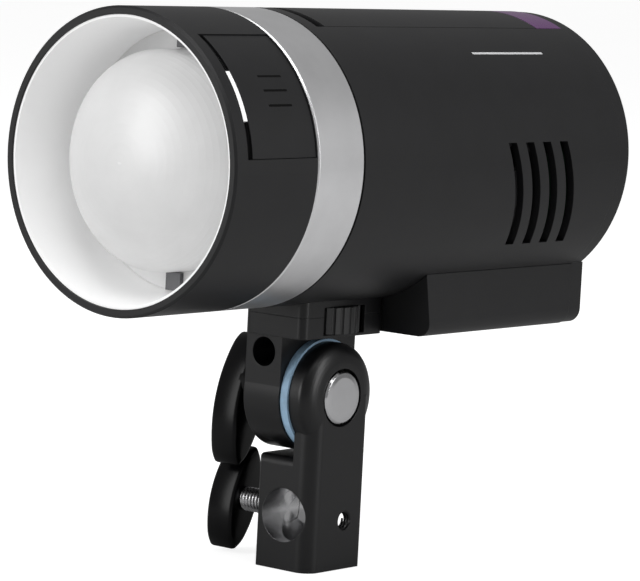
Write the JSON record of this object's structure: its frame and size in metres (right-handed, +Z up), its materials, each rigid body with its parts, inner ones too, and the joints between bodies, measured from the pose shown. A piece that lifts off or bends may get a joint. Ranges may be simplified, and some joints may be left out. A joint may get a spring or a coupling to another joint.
{
  "type": "monolight strobe",
  "caption": "Round battery studio flash head with recessed frosted dome and silver ring, on a tilting bracket with lever locks and a stand socket.",
  "frame": {"origin": "centre of the stand socket's mouth, at the foot of the bracket", "axes": "+Z up along the stand socket, -Y the way the light shines, +X the arm side of the bracket"},
  "size_m": [0.089, 0.1966, 0.1705],
  "materials": {
    "black_body": "fine matte texture",
    "black_metal": "satin black powder coat",
    "black_lever": "satin black moulded plastic",
    "rubber_black": "soft black rubber",
    "silver": "satin turned",
    "white_liner": "white satin",
    "frosted_glass": "frosted",
    "tube_glass": "clear quartz",
    "led_yellow": "phosphor",
    "ceramic_white": "unglazed",
    "cast_alu": "plain",
    "sheet_steel": "plain",
    "steel": "nickel plated",
    "chrome": "polished",
    "brass": "plain",
    "board_green": "solder mask",
    "copper_coil": "wound coil",
    "cap_sleeve": "shrink sleeve",
    "cell_blue": "cell wrap",
    "purple": "glossy",
    "washer_blue": "textured friction disc",
    "display_glass": "polished window",
    "lcd_panel": "display panel",
    "key_dark": "satin",
    "key_light": "satin",
    "key_red": "satin red",
    "fan_black": "moulded"
  },
  "bodies": {
    "stand": {"stand_bracket": "black_metal", "tilt_bolt": "steel", "tilt_bolt_cap": "chrome", "friction_washer": "washer_blue"},
    "head": {"front_barrel": "black_body", "side_panel": "black_body", "silver_ring": "silver", "reflector_liner": "white_liner", "glass_dome": "frosted_glass", "dome_clips": "sheet_steel", "flash_tube": "tube_glass", "modelling_led": "led_yellow", "lamp_base": "ceramic_white", "led_heatsink": "cast_alu", "chassis_collar": "black_metal", "body_tube": "black_body", "chin_housing": "black_body", "chassis_tray": "sheet_steel", "power_board": "board_green", "transformer": "copper_coil", "main_capacitors": "cap_sleeve", "fan_frame": "fan_black", "battery_bay": "black_body", "bay_contacts": "brass", "rear_cover": "black_body", "lcd_window": "display_glass", "lcd_module": "lcd_panel", "control_board": "board_green", "tact_switches": "sheet_steel", "dial_encoder": "sheet_steel", "usb_socket": "sheet_steel", "sync_jack": "rubber_black", "cover_screws": "steel", "mount_boss": "black_metal", "mount_insert": "brass", "mount_plate": "black_metal", "tilt_block": "black_metal"},
    "tilt_lever": {"tilt_handle": "black_lever", "tilt_nut": "brass"},
    "clamp": {"clamp_shoe": "steel"},
    "stand_lever": {"stand_screw": "steel", "stand_handle": "black_lever"},
    "lock_wheel": {"thumbwheel": "rubber_black", "wheel_screw": "steel"},
    "umbrella_lock": {"umbrella_screw": "steel"},
    "battery": {"battery_case": "black_body", "battery_lid": "black_body", "battery_cells": "cell_blue"},
    "release": {"battery_release": "purple"},
    "dial": {"control_dial": "key_dark"},
    "set_key": {"set_button": "key_dark"},
    "test_key": {"test_button": "key_light"},
    "power_key": {"power_button": "key_red"},
    "mode_key": {"mode_button": "key_dark"},
    "group_key": {"group_button": "key_dark"},
    "lamp_key": {"lamp_button": "key_dark"},
    "sync_key": {"sync_button": "key_dark"},
    "fan": {"fan_rotor": "fan_black"},
    "port_flap": {"port_cover": "rubber_black"}
  },
  "joints": [
    {"name": "head_tilt", "type": "hinge", "parent": "stand", "child": "head", "pos_m": [0, 0, 0.0532], "axis": [1, 0, 0], "range_deg": [-90, 90]},
    {"name": "tilt_lever_turn", "type": "hinge", "parent": "stand", "child": "tilt_lever", "pos_m": [-0.0275, 0, 0.0532], "axis": [1, 0, 0], "range_deg": [-180, 0]},
    {"name": "clamp_slide", "type": "slide", "parent": "stand", "child": "clamp", "axis": [1, 0, 0], "range_m": [-0.0003819, 0]},
    {"name": "stand_lever_turn", "type": "hinge", "parent": "clamp", "child": "stand_lever", "pos_m": [-0.03, 0, 0.017], "axis": [1, 0, 0], "range_deg": [-110, 0]},
    {"name": "lock_wheel_turn", "type": "hinge", "parent": "head", "child": "lock_wheel", "pos_m": [-0.002, 0, 0.077], "axis": [0, 0, 1], "continuous": true},
    {"name": "umbrella_lock_turn", "type": "hinge", "parent": "head", "child": "umbrella_lock", "pos_m": [-0.016, 0, 0.0665], "axis": [1, 0, 0], "continuous": true},
    {"name": "battery_lift", "type": "slide", "parent": "head", "child": "battery", "axis": [0, 0, 1], "range_m": [0, 0.045]},
    {"name": "release_press", "type": "slide", "parent": "head", "child": "release", "axis": [0, 0, -1], "range_m": [0, 0.0015], "stiffness_N_per_m": 400},
    {"name": "dial_turn", "type": "hinge", "parent": "head", "child": "dial", "pos_m": [-0.002, 0.0995, 0.102], "axis": [0, 1, 0], "continuous": true},
    {"name": "set_press", "type": "slide", "parent": "head", "child": "set_key", "axis": [0, -1, 0], "range_m": [0, 0.0006], "stiffness_N_per_m": 500},
    {"name": "test_press", "type": "slide", "parent": "head", "child": "test_key", "axis": [0, -1, 0], "range_m": [0, 0.0006], "stiffness_N_per_m": 500},
    {"name": "power_press", "type": "slide", "parent": "head", "child": "power_key", "axis": [0, -1, 0], "range_m": [0, 0.0006], "stiffness_N_per_m": 500},
    {"name": "mode_press", "type": "slide", "parent": "head", "child": "mode_key", "axis": [0, -1, 0], "range_m": [0, 0.0006], "stiffness_N_per_m": 500},
    {"name": "group_press", "type": "slide", "parent": "head", "child": "group_key", "axis": [0, -1, 0], "range_m": [0, 0.0006], "stiffness_N_per_m": 500},
    {"name": "lamp_press", "type": "slide", "parent": "head", "child": "lamp_key", "axis": [0, -1, 0], "range_m": [0, 0.0006], "stiffness_N_per_m": 500},
    {"name": "sync_press", "type": "slide", "parent": "head", "child": "sync_key", "axis": [0, -1, 0], "range_m": [0, 0.0006], "stiffness_N_per_m": 500},
    {"name": "fan_spin", "type": "hinge", "parent": "head", "child": "fan", "pos_m": [0.0243, 0.0556, 0.1165], "axis": [1, 0, 0], "continuous": true},
    {"name": "port_flap_open", "type": "hinge", "parent": "head", "child": "port_flap", "pos_m": [-0.002, 0.1007, 0.0752], "axis": [-1, 0, 0], "range_deg": [0, 110]}
  ],
  "couplings": [
    {"joint": "stand_lever_turn", "follows": "clamp_slide", "rad_per_m": 5026.5}
  ]
}
